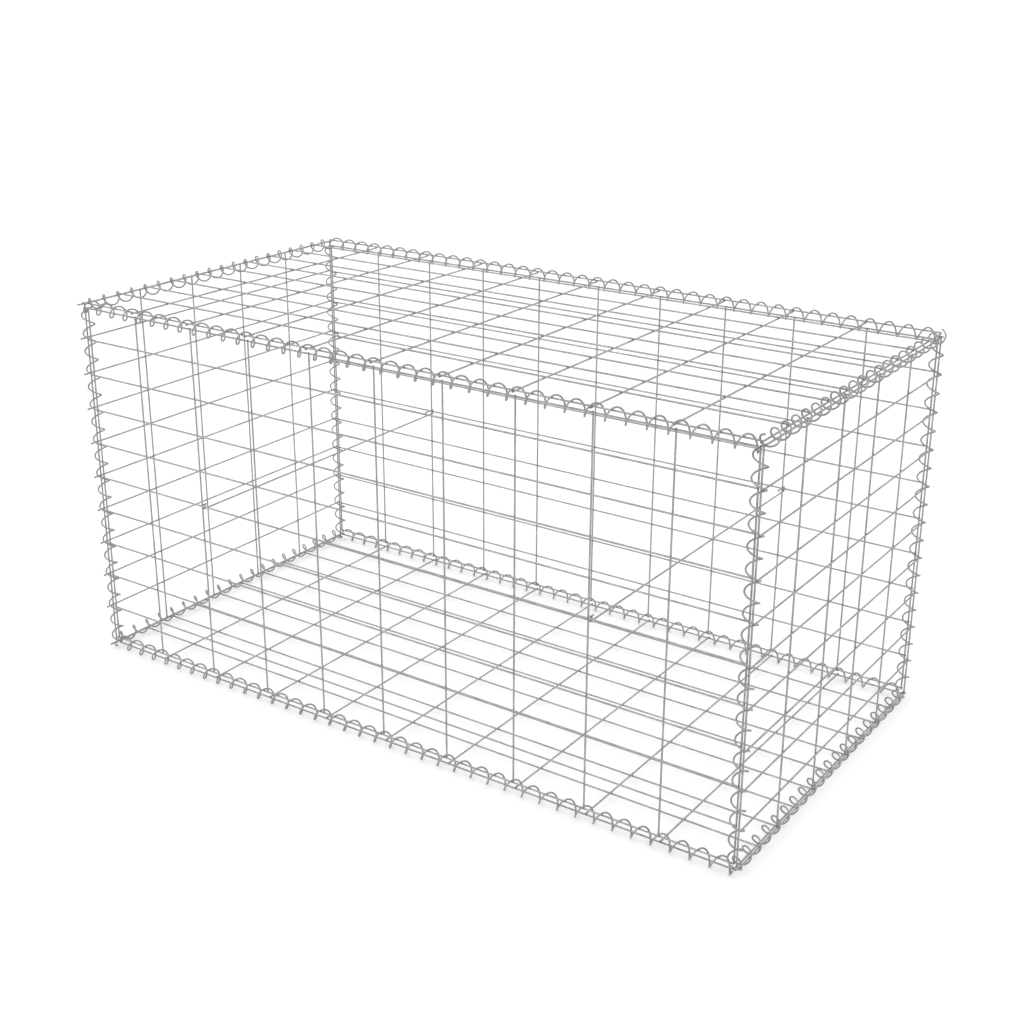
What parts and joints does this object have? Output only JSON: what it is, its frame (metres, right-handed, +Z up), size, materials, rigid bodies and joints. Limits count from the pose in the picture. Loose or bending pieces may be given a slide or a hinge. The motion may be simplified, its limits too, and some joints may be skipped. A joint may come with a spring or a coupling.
{
  "type": "gabion basket",
  "caption": "Empty rectangular gabion basket of welded galvanised wire mesh, with its lid closed, its edges laced with spiral wires and cross ties inside",
  "frame": {"origin": "middle of the footprint, on the plane that the four bottom spirals stand on", "axes": "+X along the length, +Y from front to back, +Z up"},
  "size_m": [2.0256, 1.0416, 1.0374],
  "materials": {
    "mesh_wire": "matte hot-dip galvanised",
    "spiral_wire": "galvanised spring wire",
    "tie_wire": "galvanised soft wire"
  },
  "bodies": {
    "root": {"front_panel": "mesh_wire", "back_panel": "mesh_wire", "left_panel": "mesh_wire", "right_panel": "mesh_wire", "bottom_panel": "mesh_wire", "lid_panel": "mesh_wire", "spiral_front_bottom": "spiral_wire", "spiral_back_bottom": "spiral_wire", "spiral_front_top": "spiral_wire", "spiral_back_top": "spiral_wire", "spiral_left_bottom": "spiral_wire", "spiral_right_bottom": "spiral_wire", "spiral_left_top": "spiral_wire", "spiral_right_top": "spiral_wire", "spiral_front_left": "spiral_wire", "spiral_front_right": "spiral_wire", "spiral_back_left": "spiral_wire", "spiral_back_right": "spiral_wire", "tie_left": "tie_wire", "tie_right": "tie_wire"}
  },
  "joints": []
}
